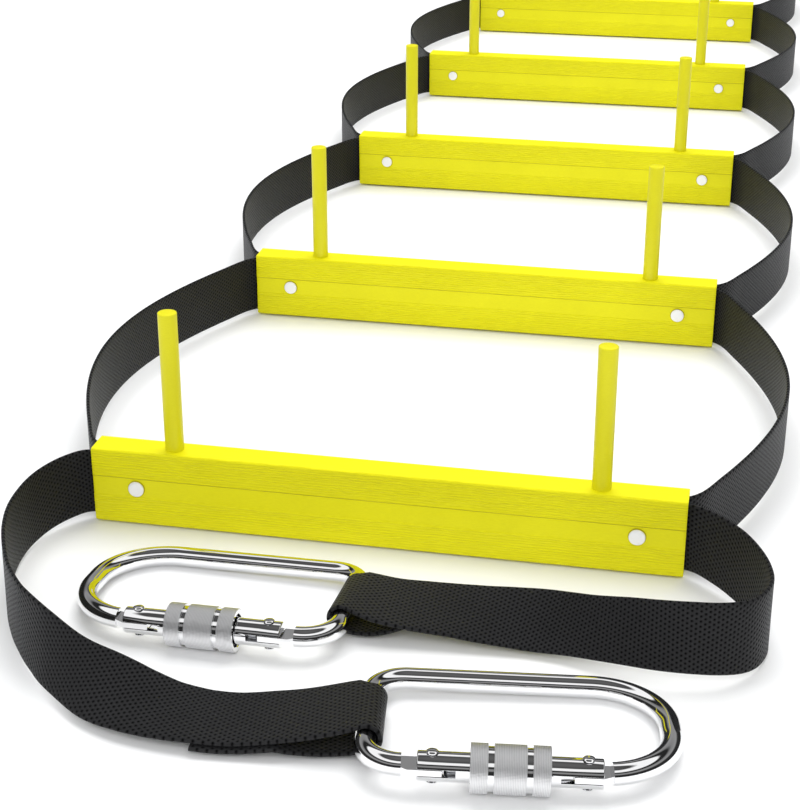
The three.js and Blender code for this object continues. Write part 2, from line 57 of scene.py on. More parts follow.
def add_camera():
    data = bpy.data.cameras.new("camera")
    data.sensor_width = 36
    data.lens = 78.5
    data.clip_start = 0.01
    data.clip_end = 60
    camera = bpy.data.objects.new("camera", data)
    yaw, pitch, roll = math.radians(11.81), math.radians(24.0), math.radians(-0.05)
    forward = Vector((-math.sin(yaw) * math.cos(pitch), math.cos(yaw) * math.cos(pitch), -math.sin(pitch)))
    turn = forward.to_track_quat("-Z", "Y") @ Quaternion((0, 0, 1), roll)
    camera.rotation_mode = "QUATERNION"
    camera.rotation_quaternion = turn
    camera.location = (0.14075, -1.2695, 0.35475)
    bpy.context.collection.objects.link(camera)
    bpy.context.scene.camera = camera


add_camera()
bpy.context.scene.view_settings.view_transform = "Standard"


# ---------------------------------------------------------------- node helpers
class Graph:
    """A material's node tree, with short calls for the nodes used here."""

    def __init__(self, name):
        self.material = bpy.data.materials.new(name)
        self.material.use_nodes = True
        self.tree = self.material.node_tree
        self.shader = self.tree.nodes["Principled BSDF"]

    def node(self, kind, **values):
        made = self.tree.nodes.new(kind)
        for key, value in values.items():
            setattr(made, key, value)
        return made

    def put(self, socket, value):
        if isinstance(value, bpy.types.NodeSocket):
            self.tree.links.new(value, socket)
        else:
            socket.default_value = value

    def math(self, operation, a, b=0.0, c=0.0):
        made = self.node("ShaderNodeMath", operation=operation)
        for socket, value in zip(made.inputs, (a, b, c)):
            self.put(socket, value)
        return made.outputs[0]

    def attribute(self, name):
        split = self.node("ShaderNodeSeparateXYZ")
        self.put(split.inputs[0], self.node("ShaderNodeAttribute", attribute_name=name).outputs["Vector"])
        return split.outputs

    def position(self, scale=(1, 1, 1)):
        mapping = self.node("ShaderNodeMapping")
        self.put(mapping.inputs["Vector"], self.node("ShaderNodeTexCoord").outputs["Object"])
        mapping.inputs["Scale"].default_value = scale
        return mapping.outputs[0]

    def noise(self, vector, scale, detail=3.0, roughness=0.55):
        made = self.node("ShaderNodeTexNoise")
        self.put(made.inputs["Vector"], vector)
        made.inputs["Scale"].default_value = scale
        made.inputs["Detail"].default_value = detail
        made.inputs["Roughness"].default_value = roughness
        return made.outputs["Fac"]

    def ramp(self, value, stops):
        made = self.node("ShaderNodeValToRGB")
        elements = made.color_ramp.elements
        while len(elements) < len(stops):
            elements.new(0.5)
        for element, (place, colour) in zip(elements, stops):
            element.position = place
            element.color = (*colour, 1)
        self.put(made.inputs["Fac"], value)
        return made.outputs["Color"]

    def spread(self, value, low, high):
        """Maps 0..1 to low..high."""
        return self.math("MULTIPLY_ADD", value, high - low, low)

    def bump(self, height, distance, strength=1.0, under=None):
        made = self.node("ShaderNodeBump")
        self.put(made.inputs["Height"], height)
        made.inputs["Distance"].default_value = distance
        made.inputs["Strength"].default_value = strength
        if under is not None:
            self.put(made.inputs["Normal"], under)
        return made.outputs["Normal"]

    def finish(self, **values):
        for name, value in values.items():
            self.put(self.shader.inputs[name.replace("_", " ")], value)
        return self.material


COLUMN = 1.55 * MM
ROW = 2.1 * MM
RUNG_HEIGHT = 34 * MM
RUNG_DEPTH = 14 * MM
STRIPE_HALF = 4.2 * MM
GROOVE_PITCH = 1.1 * MM
# Width of the painted shadow line under the stripe's upper edge.
LIP_SHADOW_WIDTH = 0.22 * MM
RUNG_HALF = 0.125
RIVET_X = RUNG_HALF - 19.3 * MM
RIVET_DROP = -0.2 * MM
# Radius of the painted shadow ring round each rivet head.
RIVET_SHADOW_RADIUS = 3.75 * MM
TURNED_PITCH = 0.55 * MM
BAND_FLOOR = 7.9 * MM


def webbing_material():
    g = Graph("black_webbing")
    along, across, _ = g.attribute("strap")
    a = g.math("DIVIDE", along, COLUMN)
    column = g.math("FLOOR", a)
    fa = g.math("SUBTRACT", g.math("FRACT", a), 0.5)
    shift = g.math("MULTIPLY", g.math("MODULO", column, 2.0), 0.5)
    b = g.math("ADD", g.math("DIVIDE", across, ROW), shift)
    fb = g.math("SUBTRACT", g.math("FRACT", b), 0.5)
    ea = g.math("POWER", g.math("ABSOLUTE", g.math("DIVIDE", fa, 0.30)), 2.0)
    eb = g.math("POWER", g.math("ABSOLUTE", g.math("DIVIDE", fb, 0.25)), 2.0)
    pit = g.math("EXPONENT", g.math("MULTIPLY", g.math("ADD", ea, eb), -1.0))
    rib = g.math("COSINE", g.math("MULTIPLY", fa, 2 * math.pi))
    yarn = g.math("COSINE", g.math("MULTIPLY", across, 2 * math.pi / (0.45 * MM)))
    height = g.math("SUBTRACT", g.math("MULTIPLY", rib, 0.12), pit)
    height = g.math("ADD", height, g.math("MULTIPLY", yarn, 0.06))
    fuzz = g.noise(g.position(), 900, 4)
    patch = g.noise(g.position(), 28, 2)
    # Painted shade darkens the weave's pits; patch and fuzz vary the tone at random.
    tone_and_painted_shade = g.math("MULTIPLY", g.math("SUBTRACT", 1.0, pit), g.spread(patch, 0.75, 1.25))
    tone_and_painted_shade = g.math("MULTIPLY", tone_and_painted_shade, g.spread(fuzz, 0.7, 1.3))
    colour = g.ramp(tone_and_painted_shade, [(0.0, (0.0014, 0.0014, 0.0015)), (0.45, (0.007, 0.007, 0.0074)),
                            (1.0, (0.020, 0.020, 0.021))])
    rough = g.spread(fuzz, 0.42, 0.6)
    gloss = g.spread(g.math("SUBTRACT", 1.0, pit), 0.0, 0.2)
    normal = g.bump(height, 0.0004, 1.0)
    normal = g.bump(fuzz, 0.0001, 0.3, normal)
    return g.finish(Base_Color=colour, Roughness=rough, Normal=normal, Specular_IOR_Level=gloss,
                    Sheen_Weight=0.05, Sheen_Roughness=0.3, Sheen_Tint=(0.8, 0.82, 0.85, 1))


def yellow_material(name, dark, light):
    g = Graph(name)
    patch = g.noise(g.position(), 22, 3)
    grain = g.noise(g.position((1, 6, 6)), 420, 3)
    mixed = g.math("ADD", g.math("MULTIPLY", patch, 0.6), g.math("MULTIPLY", grain, 0.4))
    colour = g.ramp(mixed, [(0.3, dark), (0.7, light)])
    rough = g.spread(grain, 0.34, 0.52)
    normal = g.bump(grain, 0.00006, 0.5)
    return g.finish(Base_Color=colour, Roughness=rough, Normal=normal, Specular_IOR_Level=0.35,
                    Coat_Weight=0.08, Coat_Roughness=0.25)


def rung_material(name, dark, light):
    """Paint over a face that is combed with short wavy grooves, smooth on a stripe and the edges; painted
    shade darkens the grooves, and painted shadow lines the stripe's upper edge and rings each rivet.
    """
    g = Graph(name)
    split = g.node("ShaderNodeSeparateXYZ")
    g.put(split.inputs[0], g.node("ShaderNodeTexCoord").outputs["Object"])
    along, across, height = split.outputs[0], split.outputs[1], split.outputs[2]
    wide_face = g.math("GREATER_THAN", g.math("ABSOLUTE", across), RUNG_DEPTH / 2 - 0.9 * MM)
    off_stripe = g.math("GREATER_THAN", g.math("ABSOLUTE", height), STRIPE_HALF + 0.3 * MM)
    combed = g.math("MULTIPLY", wide_face, off_stripe)
    drift = g.noise(g.position((1, 1, 2.2)), 75, 2)
    rows = g.math("MULTIPLY", height, 2 * math.pi / GROOVE_PITCH)
    lines = g.math("ADD", rows, g.math("MULTIPLY", drift, 12.0))
    comb = g.math("MULTIPLY_ADD", g.math("SINE", lines), 0.5, 0.5)
    breaks = g.noise(g.position((1, 3, 9)), 130, 2)
    groove = g.math("MULTIPLY", g.math("MULTIPLY", comb, combed), g.math("SMOOTH_MIN", 1.0, breaks, 0.2))
    grain = g.noise(g.position((1, 6, 6)), 420, 3)
    patch = g.noise(g.position(), 22, 3)
    mixed = g.math("ADD", g.math("MULTIPLY", patch, 0.6), g.math("MULTIPLY", grain, 0.4))
    paint = g.ramp(mixed, [(0.3, dark), (0.7, light)])
    # Painted shadow: a dark line under the stripe's upper lip, and a dark ring round each rivet head.
    from_lip_shadow = g.math("DIVIDE", g.math("SUBTRACT", height, STRIPE_HALF + 0.2 * MM), LIP_SHADOW_WIDTH)
    lip_and_rivet_shadow = g.math("EXPONENT", g.math("MULTIPLY", g.math("POWER", g.math("ABSOLUTE", from_lip_shadow), 2.0), -1.0))
    lip_and_rivet_shadow = g.math("MULTIPLY", lip_and_rivet_shadow, wide_face)
    off_rivet_x = g.math("SUBTRACT", g.math("ABSOLUTE", along), RIVET_X)
    off_rivet_z = g.math("SUBTRACT", height, RIVET_DROP)
    from_rivet = g.math("SQRT", g.math("ADD", g.math("MULTIPLY", off_rivet_x, off_rivet_x),
                                       g.math("MULTIPLY", off_rivet_z, off_rivet_z)))
    rivet_shadow = g.math("LESS_THAN", from_rivet, RIVET_SHADOW_RADIUS)
    lip_and_rivet_shadow = g.math("MAXIMUM", lip_and_rivet_shadow, g.math("MULTIPLY", rivet_shadow, wide_face))
    # Painted shade: the paint is darkened along the combed grooves.
    tone_and_painted_shade = g.node("ShaderNodeMix", data_type="RGBA", blend_type="MULTIPLY")
    g.put(tone_and_painted_shade.inputs["Factor"], 1.0)
    g.put(tone_and_painted_shade.inputs["A"], paint)
    g.put(tone_and_painted_shade.inputs["B"], g.ramp(groove, [(0.1, (1, 1, 1)), (0.6, (0.91, 0.90, 0.75))]))
    # The paint, darkened further by the painted shadow line and ring.
    with_painted_shadows = g.node("ShaderNodeMix", data_type="RGBA", blend_type="MULTIPLY")
    g.put(with_painted_shadows.inputs["Factor"], 1.0)
    g.put(with_painted_shadows.inputs["A"], tone_and_painted_shade.outputs["Result"])
    g.put(with_painted_shadows.inputs["B"], g.ramp(lip_and_rivet_shadow, [(0.0, (1, 1, 1)), (1.0, (0.62, 0.58, 0.35))]))
    normal = g.bump(groove, 0.00016, 1.0)
    normal = g.bump(grain, 0.00005, 0.4, normal)
    return g.finish(Base_Color=with_painted_shadows.outputs["Result"], Roughness=g.spread(grain, 0.4, 0.55), Normal=normal,
                    Specular_IOR_Level=0.25)


def metal_material(name, colour, low, high, scale, stretch, depth, metallic=1.0):
    g = Graph(name)
    grain = g.noise(g.position(stretch), scale, 4)
    patch = g.noise(g.position(), 60, 2)
    tint = g.ramp(patch, [(0.2, tuple(0.93 * c for c in colour)), (0.8, colour)])
    rough = g.spread(grain, low, high)
    normal = g.bump(grain, depth, 0.4)
    return g.finish(Base_Color=tint, Metallic=metallic, Roughness=rough, Normal=normal)


def sleeve_material():
    """Satin bands with fine rings turned into them, the rings darkened with painted shade, parted by bright
    smooth grooves.
    """
    g = Graph("turned_steel")
    place, radius, _ = g.attribute("strap")
    band = g.math("GREATER_THAN", radius, BAND_FLOOR)
    wander = g.math("MULTIPLY", g.noise(g.position(), 260, 2), 1.6)
    rings = g.math("SINE", g.math("ADD", g.math("MULTIPLY", place, 2 * math.pi / TURNED_PITCH), wander))
    rings = g.math("MULTIPLY", g.math("MULTIPLY_ADD", rings, 0.5, 0.5), band)
    grain = g.math("MULTIPLY", g.noise(g.position(), 900, 3), band)
    # Painted shade: the colour is darker along the turned rings.
    colour = g.ramp(rings, [(0.0, (0.90, 0.90, 0.91)), (1.0, (0.70, 0.70, 0.71))])
    rough = g.math("MULTIPLY_ADD", band, 0.3, g.spread(grain, 0.04, 0.16))
    normal = g.bump(rings, 0.00008, 1.0)
    normal = g.bump(grain, 0.00003, 0.4, normal)
    return g.finish(Base_Color=colour, Metallic=g.math("MULTIPLY_ADD", band, -0.12, 1.0), Roughness=rough,
                    Normal=normal)


WEBBING = webbing_material()
RUNG_YELLOW = rung_material("rung_yellow", (0.74, 0.69, 0.004), (0.84, 0.79, 0.007))
ROD_YELLOW = yellow_material("rod_yellow", (0.68, 0.63, 0.005), (0.76, 0.71, 0.008))
RIVET = metal_material("rivet_metal", (0.93, 0.93, 0.93), 0.28, 0.42, 700, (1, 1, 1), 0.00002, 0.1)
CHROME = metal_material("chrome", (0.93, 0.93, 0.94), 0.02, 0.07, 500, (1, 1, 1), 0.000002)
TURNED = sleeve_material()
SPRING_STEEL = metal_material("spring_steel", (0.55, 0.56, 0.58), 0.2, 0.4, 800, (1, 1, 1), 0.00001)


# ---------------------------------------------------------------- mesh helpers
def mesh_object(name, vertices, faces, material, sharp=35, strap=None):
    mesh = bpy.data.meshes.new(name)
    mesh.from_pydata([tuple(v) for v in np.asarray(vertices)], [], faces)
    mesh.validate()
    mesh.polygons.foreach_set("use_smooth", [True] * len(mesh.polygons))
    mesh.set_sharp_from_angle(angle=math.radians(sharp))
    mesh.materials.append(material)
    if strap is not None:
        layer = mesh.attributes.new("strap", "FLOAT_VECTOR", "POINT")
        layer.data.foreach_set("vector", np.asarray(strap, np.float32).ravel())
    made = bpy.data.objects.new(name, mesh)
    bpy.context.collection.objects.link(made)
    return made


def ring_faces(rings, count, first=0, loop=False):
    """Quads between neighbouring rings of count points; loop also joins the last to the first."""
    faces = []
    for i in range(rings if loop else rings - 1):
        a, b = first + i * count, first + (i + 1) % rings * count
        for j in range(count):
            k = (j + 1) % count
            faces.append((a + j, a + k, b + k, b + j))
    return faces


def capped(rings, count):
    """The faces of a closed tube: rings, and an n-gon on each end."""
    faces = ring_faces(rings, count)
    faces.append(tuple(range(count))[::-1])
    faces.append(tuple((rings - 1) * count + j for j in range(count)))
    return faces


def turned(profile, steps):
    """A closed solid turned about X from [radius, place] points, both ends on the axis."""
    inner = profile[1:-1]
    vertices = [(profile[0][1], 0, 0), (profile[-1][1], 0, 0)]
    for radius, place in inner:
        for i in range(steps):
            angle = 2 * math.pi * i / steps
            vertices.append((place, radius * math.cos(angle), radius * math.sin(angle)))
    faces = ring_faces(len(inner), steps, 2)
    last = 2 + (len(inner) - 1) * steps
    for i in range(steps):
        j = (i + 1) % steps
        faces.append((0, 2 + j, 2 + i))
        faces.append((1, last + i, last + j))
    return np.array(vertices), [tuple(reversed(f)) for f in faces]


def shift(vertices, x=0.0, y=0.0, z=0.0):
    return vertices + np.array([x, y, z])


def merged(parts):
    """Joins (vertices, faces) parts into one."""
    vertices, faces = [], []
    for part_vertices, part_faces in parts:
        base = sum(len(v) for v in vertices)
        vertices.append(part_vertices)
        faces += [tuple(base + i for i in f) for f in part_faces]
    return np.vstack(vertices), faces


def rounded(radius, low, high, edge):
    """Half profile of a rod between two places, with rounded rims."""
    points = [(0, low)]
    for i in range(4):
        angle = math.pi / 2 * i / 3
        points.append((radius - edge + edge * math.sin(angle), low + edge - edge * math.cos(angle)))
    for i in range(4):
        angle = math.pi / 2 * i / 3
        points.append((radius - edge + edge * math.cos(angle), high - edge + edge * math.sin(angle)))
    points.append((0, high))
    return points


def upright(vertices):
    """Turns a solid made along X to stand along Z."""
    return vertices[:, [1, 2, 0]]


# ---------------------------------------------------------------- webbing
STRAP_WIDTH = 30 * MM
STRAP_THICKNESS = 1.6 * MM
STRAP_CENTRE_Z = 0.0178
STRAP_LAYER_OFFSET = 2.4 * MM
STRAP_INSERTION = 24 * MM
STRAP_BULGE = 38 * MM


def strap_section():
    """The strap's outline, [across, off the face] as shares of half the width and thickness."""
    outline = []
    flat = np.linspace(-0.955, 0.955, 15)
    for t in flat:
        outline.append((t, -1.0))
    outline += [(0.985, -0.72), (1.0, -0.28), (1.0, 0.28), (0.985, 0.72)]
    for t in flat[::-1]:
        outline.append((t, 1.0))
    outline += [(-0.985, 0.72), (-1.0, 0.28), (-1.0, -0.28), (-0.985, -0.72)]
    return np.array(outline)


SECTION = strap_section()


def strap_mesh(name, points, across, width=None):
    """Webbing swept along points, standing along across at each; width is a factor per point."""
    points, across = np.asarray(points, float), np.asarray(across, float)
    tangent = np.gradient(points, axis=0)
    tangent /= np.linalg.norm(tangent, axis=1)[:, None]
    across = across - (across * tangent).sum(1)[:, None] * tangent
    across /= np.linalg.norm(across, axis=1)[:, None]
    normal = np.cross(tangent, across)
    count = len(points)
    factor = np.ones(count) if width is None else np.asarray(width)
    half = STRAP_WIDTH / 2 * factor
    vertices = (
        points[:, None]
        + across[:, None] * (SECTION[:, 0][None, :, None] * half[:, None, None])
        + normal[:, None] * (SECTION[:, 1][None, :, None] * STRAP_THICKNESS / 2)
    )
    run = np.concatenate([[0], np.cumsum(np.linalg.norm(np.diff(points, axis=0), axis=1))])
    strap = np.zeros((count, len(SECTION), 3))
    strap[:, :, 0] = run[:, None]
    strap[:, :, 1] = SECTION[:, 0] * STRAP_WIDTH / 2
    strap[:, :, 2] = SECTION[:, 1]
    faces = capped(count, len(SECTION))
    return mesh_object(name, vertices.reshape(-1, 3), faces, WEBBING, 50, strap.reshape(-1, 3))


def centripetal(points, steps):
    """A centripetal Catmull-Rom curve through points: places and tangents at even parameters."""
    points = np.asarray(points, float)
    places, tangents, params = [], [], []
    count = len(points)
    for i in range(steps + 1):
        place = i / steps * (count - 1)
        low = min(int(place), count - 2)
        w = place - low
        p1, p2 = points[low], points[low + 1]
        p0 = points[low - 1] if low > 0 else 2 * p1 - p2
        p3 = points[low + 2] if low + 2 < count else 2 * p2 - p1
        d0, d1, d2 = (max(np.linalg.norm(b - a), 1e-9) ** 0.5 for a, b in ((p0, p1), (p1, p2), (p2, p3)))
        t1 = ((p1 - p0) / d0 - (p2 - p0) / (d0 + d1) + (p2 - p1) / d1) * d1
        t2 = ((p2 - p1) / d1 - (p3 - p1) / (d1 + d2) + (p3 - p2) / d2) * d1
        c2 = -3 * p1 + 3 * p2 - 2 * t1 - t2
        c3 = 2 * p1 - 2 * p2 + t1 + t2
        places.append(p1 + t1 * w + c2 * w * w + c3 * w ** 3)
        tangents.append(t1 + 2 * c2 * w + 3 * c3 * w * w)
        params.append(place)
    tangents = np.array(tangents)
    tangents /= np.linalg.norm(tangents, axis=1)[:, None]
    return np.array(places), tangents, np.array(params)


# Each lead strap's route, as in the CAD model: [x, y from rung 1, z, lean from upright].
LEAD_ROUTES = {
    "left": [
        (-101, -2.4, 17.8, 0), (-110, -2.4, 17.8, 0), (-119, -2.5, 17.8, 0),
        (-128.9, -4, 17.8, -1), (-135.4, -11.2, 17.5, -2), (-140, -20.2, 17, -2),
        (-142.4, -29.4, 16.5, -2), (-143.1, -40.4, 16.2, -1), (-141.8, -53.8, 16, -1),
        (-137.8, -68.8, 16, 0), (-131.4, -84.4, 16, 1), (-123.2, -99.9, 16, 2),
        (-112.9, -114.1, 16, 5), (-100.6, -126.1, 15.4, 14), (-87.1, -135.5, 13, 33),
        (-73, -141.6, 10.5, 57), (-59.4, -144.8, 8.2, 74), (-46.4, -146.4, 6.4, 83),
        (-33.5, -146.9, 5.8, 87), (-21.5, -146.1, 5.6, 87), (-8, -144.3, 7, 87),
        (6.5, -142.4, 9.5, 88),
    ],
    "right": [
        (101, -2.4, 17.8, 0), (110, -2.4, 17.8, 0), (119, -2.5, 17.8, 0), (129, -5.9, 18.6, -2),
        (137.8, -12.4, 18.2, -4), (145.7, -20.6, 17.4, -5), (152.1, -30.3, 16.4, -4),
        (156.8, -40.9, 15.7, -2), (158.8, -52.2, 15.5, 0), (157, -63.2, 15.8, 3),
        (151.8, -72.7, 16.6, 7), (142.9, -78.8, 17.9, 11), (131.7, -81.2, 18.4, 14),
        (119.8, -80.7, 17.8, 19), (108.1, -77.9, 16.4, 25), (97.1, -74.2, 14.3, 33),
        (86.8, -70.1, 12.2, 44), (76.5, -66.6, 10.3, 56), (65.8, -64.5, 9.2, 67),
        (54.1, -64, 8.9, 73), (41.9, -63.9, 9.2, 78), (29.3, -64.2, 9.7, 81),
        (16.6, -64.6, 10.6, 84),
    ],
}
LAY = {
    "left": {"x": 76.2, "y": -130.9, "heading": 8.7, "turn": 1, "offset": 0},
    "right": {"x": -51.2, "y": -65.3, "heading": 178.8, "turn": -1, "offset": 3},
}
SLOPE_U = -0.0206
SLOPE_V = -0.0676
CENTRE_HEIGHT = 6.57 * MM
BAR_RADIUS = 4 * MM
LOOP_HALF_LENGTH = 52.2 * MM
LOOP_HALF_WIDTH = 29 * MM
NARROWING = 0.2
NARROWEST_LEAN = 36
NARROWING_SPREAD = 26
# The layer under the strap, in mm: where it meets the strap, where it ends, how far it is set
# to the reader's side, and how far it sags behind the bow.
UNDER_LAYER = {"left": (31, 59.6, 1.6), "right": (21, 50, -2)}
UNDER_SAG = 0.7 * MM


def carabiner_basis(side):
    lay = LAY[side]
    angle = math.radians(lay["heading"])
    u = np.array([math.cos(angle), math.sin(angle), SLOPE_U])
    u /= np.linalg.norm(u)
    v = np.array([-math.sin(angle) * lay["turn"], math.cos(angle) * lay["turn"], SLOPE_V])
    v -= v @ u * u
    v /= np.linalg.norm(v)
    centre = np.array([lay["x"] * MM, FIRST_RUNG_Y + lay["y"] * MM, CENTRE_HEIGHT])
    return centre, u, v, np.cross(u, v)


def lead_strap(side):
    lay = LAY[side]
    centre, u, v, _ = carabiner_basis(side)
    bow = centre - u * LOOP_HALF_LENGTH + v * lay["offset"] * MM
    radius = BAR_RADIUS + 0.4 * MM + STRAP_THICKNESS / 2
    up = np.array([0, 0, 1.0])
    level = np.array([u[0], u[1], 0])
    level /= np.linalg.norm(level)
    route = LEAD_ROUTES[side]
    points = [(x * MM, FIRST_RUNG_Y + y * MM, z * MM) for x, y, z, _ in route]
    points.append(bow + up * radius - level * 3.2 * MM)
    leans = np.array([entry[3] for entry in route] + [90.0])
    places, tangents, params = centripetal(points, 150)
    lean = np.radians(np.interp(params, range(len(leans)), leans))
    flat = np.stack([-tangents[:, 1], tangents[:, 0], 0 * tangents[:, 0]], 1)
    flat /= np.linalg.norm(flat, axis=1)[:, None]
    away = 1 if side == "left" else -1
    across = up * np.cos(lean)[:, None] + flat * (np.sin(lean) * away)[:, None]
    across -= (across * tangents).sum(1)[:, None] * tangents
    across /= np.linalg.norm(across, axis=1)[:, None]

    across_bow = v * np.sign(v[1])
    angles = np.linspace(math.pi / 2, -math.pi / 2, 19)
    wrap = bow + level * (radius * np.cos(angles))[:, None] + up * (radius * np.sin(angles))[:, None]

    degrees = np.degrees(lean)
    shares = 1 - NARROWING * np.exp(-(((degrees - NARROWEST_LEAN) / NARROWING_SPREAD) ** 2))
    spacing = STRAP_THICKNESS + 0.4 * MM
    meets, ends, offset = (value * MM for value in UNDER_LAYER[side])
    lower, lower_across, lower_shares = [], [], []
    for place, tangent, side_way, share in zip(places[::-1], tangents[::-1], across[::-1], shares[::-1]):
        reach = math.hypot(place[0] - bow[0], place[1] - bow[1])
        if meets <= reach <= ends:
            under = np.cross(tangent, side_way)
            under *= -np.sign(under[2]) * spacing / np.linalg.norm(under)
            lower.append(place + under - side_way * offset)
            lower_across.append(side_way)
            lower_shares.append(share)
    bottom, first = wrap[-1], lower[0]
    run, run_across = [], []
    for share in np.linspace(0.12, 0.88, 7):
        point = bottom + (first - bottom) * share
        point[2] = bottom[2] + (first[2] - bottom[2]) * share * share - UNDER_SAG * math.sin(math.pi * share)
        run.append(point)
        run_across.append(across_bow + (lower_across[0] - across_bow) * share)
    everything = np.vstack([places, wrap, run, lower])
    ways = np.vstack([across, np.tile(across_bow, (len(wrap), 1)), run_across, lower_across])
    width = np.concatenate([shares, np.ones(len(wrap) + len(run)), lower_shares])
    strap = strap_mesh(f"{side}_lead_webbing", everything, ways, width)
    path = np.vstack([places, wrap[:10]])
    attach(strap, "rung_1")
    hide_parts(f"{side}_lead_strap")
    return strap, path


lead_paths = {}
leads = {}
for side in SIDES:
    leads[side], lead_paths[side] = lead_strap(side)


def gap_strap(number, side):
    """One side strap between two rungs, folded inside each, standing on edge."""
    sign = SIDES[side]
    offset = STRAP_LAYER_OFFSET
    inside = RUNG_HALF - STRAP_INSERTION
    points = []
    for i in range(13):
        angle = -math.pi / 2 - math.pi * i / 12
        points.append((inside - 3 * MM + offset * math.cos(angle), offset * math.sin(angle)))
    control = [(inside + 4 * MM, offset), (RUNG_HALF - 14 * MM, offset),
               (RUNG_HALF - 2 * MM, offset + 0.2 * MM)]
    for i in range(15):
        share = 0.03 + 0.94 * i / 14
        control.append((RUNG_HALF + STRAP_BULGE * math.sin(math.pi * share) ** 0.92, share * PITCH))
    control += [(RUNG_HALF - 2 * MM, PITCH - offset - 0.2 * MM), (RUNG_HALF - 14 * MM, PITCH - offset)]
    control.append((inside - (2 * MM if number == RUNGS - 1 else 0), PITCH - offset))
    curve, _, _ = centripetal([(x, y, 0) for x, y in control], 110)
    points += [(p[0], p[1]) for p in curve]
    start = FIRST_RUNG_Y + (number - 1) * PITCH
    line = np.array([(sign * x, start + y, STRAP_CENTRE_Z) for x, y in points])
    strap = strap_mesh(f"{side}_webbing_{number}", line, np.tile([0, 0, 1.0], (len(line), 1)))
    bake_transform(strap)
    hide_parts(f"{side}_side_strap_{number}")


for side in SIDES:
    for number in range(1, RUNGS):
        gap_strap(number, side)


# ---------------------------------------------------------------- rungs, rods and rivets
RIDGES = 8
CORNER_STEPS = 6


def wave(x):
    """A smooth, uneven wander along the rung, different at each call."""
    total = np.zeros_like(x)
    for period in (0.0043, 0.0071, 0.013):
        total += np.sin(x / period * 2 * math.pi + rng.uniform(0, 2 * math.pi))
    return total / 3


def rung_mesh():
    """A ribbed tube along X, its wide faces grooved above and below a smooth stripe."""
    stations = np.concatenate([[-RUNG_HALF, -RUNG_HALF + 0.35 * MM],
                               np.linspace(-RUNG_HALF + 1.6 * MM, RUNG_HALF - 1.6 * MM, 155),
                               [RUNG_HALF - 0.35 * MM, RUNG_HALF]])
    y, z, corner = RUNG_DEPTH / 2, RUNG_HEIGHT / 2, 1.2 * MM
    count = len(stations)
    face = []
    top = z - corner
    ridge = (top - STRIPE_HALF - 0.7 * MM) / RIDGES
    calm = np.clip((RUNG_HALF - np.abs(stations)) / (2 * MM), 0, 1)

    def column(height, depth):
        face.append((np.broadcast_to(height, (count,)), np.broadcast_to(depth, (count,))))

    def grooved():
        rows = [(STRIPE_HALF - 0.05 * MM, 0.32 * MM), (STRIPE_HALF + 0.25 * MM, 0.0)]
        for i in range(RIDGES):
            low = STRIPE_HALF + 0.5 * MM + i * ridge
            drift = 0.16 * MM * wave(stations) * calm
            deep = (0.20 + 0.10 * wave(stations)) * MM
            rows.append((low + 0.10 * ridge + drift, 0.02 * MM))
            rows.append((low + 0.52 * ridge + drift, 0.0))
            rows.append((low + 0.86 * ridge + drift, deep))
        return rows

    upper = grooved()
    lower = grooved()
    for height, depth in upper[::-1]:
        column(height, depth)
    column(0.0, 0.30 * MM)
    for height, depth in lower:
        column(-height, depth)
    outline = []
    flats = np.array((-5.8, -3, 0, 3, 5.8))

    def round_corner(side_y, side_z, first):
        for i in range(1, CORNER_STEPS):
            angle = first + math.pi / 2 * i / CORNER_STEPS
            outline.append((side_y * (y - corner) + corner * math.cos(angle),
                            side_z * (z - corner) + corner * math.sin(angle)))

    for height, depth in face:
        outline.append((-y + depth, height))
    round_corner(-1, -1, math.pi)
    outline += [(t * MM, -z) for t in flats]
    round_corner(1, -1, -math.pi / 2)
    for height, depth in face[::-1]:
        outline.append((y - depth, height))
    round_corner(1, 1, 0)
    outline += [(t * MM, z) for t in flats[::-1]]
    round_corner(-1, 1, math.pi / 2)
    size = len(outline)
    outer = np.zeros((count, size, 3))
    outer[:, :, 0] = stations[:, None]
    for j, (a, b) in enumerate(outline):
        outer[:, j, 1] = a
        outer[:, j, 2] = b
    pull = 0.18 * MM
    for end in (0, count - 1):
        outer[end, :, 1] *= 1 - pull / y
        outer[end, :, 2] *= 1 - pull / z
    wall = 1.5 * MM
    inner = np.zeros((2, size, 3))
    for i, end in enumerate((count - 1, 0)):
        flat = outer[end].copy()
        flat[:, 1] = np.clip(flat[:, 1], -y + wall, y - wall)
        flat[:, 2] = np.clip(flat[:, 2], -z + wall, z - wall)
        inner[i] = flat
    rings = np.concatenate([outer, inner])
    faces = ring_faces(count + 2, size, 0, True)
    return rings.reshape(-1, 3), faces


ROD_X = 90 * MM
RUNG_CENTRE_Z = 0.018
RIVET_Z = 0.0178
ROD_RADIUS = 4 * MM
ROD_TOP = 96.5 * MM
rod_shape = turned(rounded(ROD_RADIUS, 0, ROD_TOP, 0.5 * MM), 48)
rivet_profile = [(0, -8.05 * MM), (2.0 * MM, -8.04 * MM), (3.0 * MM, -8.0 * MM), (3.3 * MM, -7.9 * MM),
                 (3.4 * MM, -7.72 * MM), (3.42 * MM, -7.3 * MM), (3.2 * MM, -7.2 * MM), (2 * MM, -7.2 * MM),
                 (2 * MM, 6.8 * MM), (3.0 * MM, 7.0 * MM), (3.0 * MM, 7.7 * MM), (2.6 * MM, 8.0 * MM),
                 (1.6 * MM, 8.1 * MM), (0, 8.1 * MM)]
rivet_shape = turned(rivet_profile, 40)
shared = {}


def shared_piece(kind, name, shape, material, place, body, node):
    if kind in shared:
        made = bpy.data.objects.new(name, shared[kind])
        bpy.context.collection.objects.link(made)
    else:
        made = mesh_object(name, shape[0], shape[1], material, 40)
        shared[kind] = made.data
    made.location = place
    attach(made, body)
    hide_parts(node)
    return made


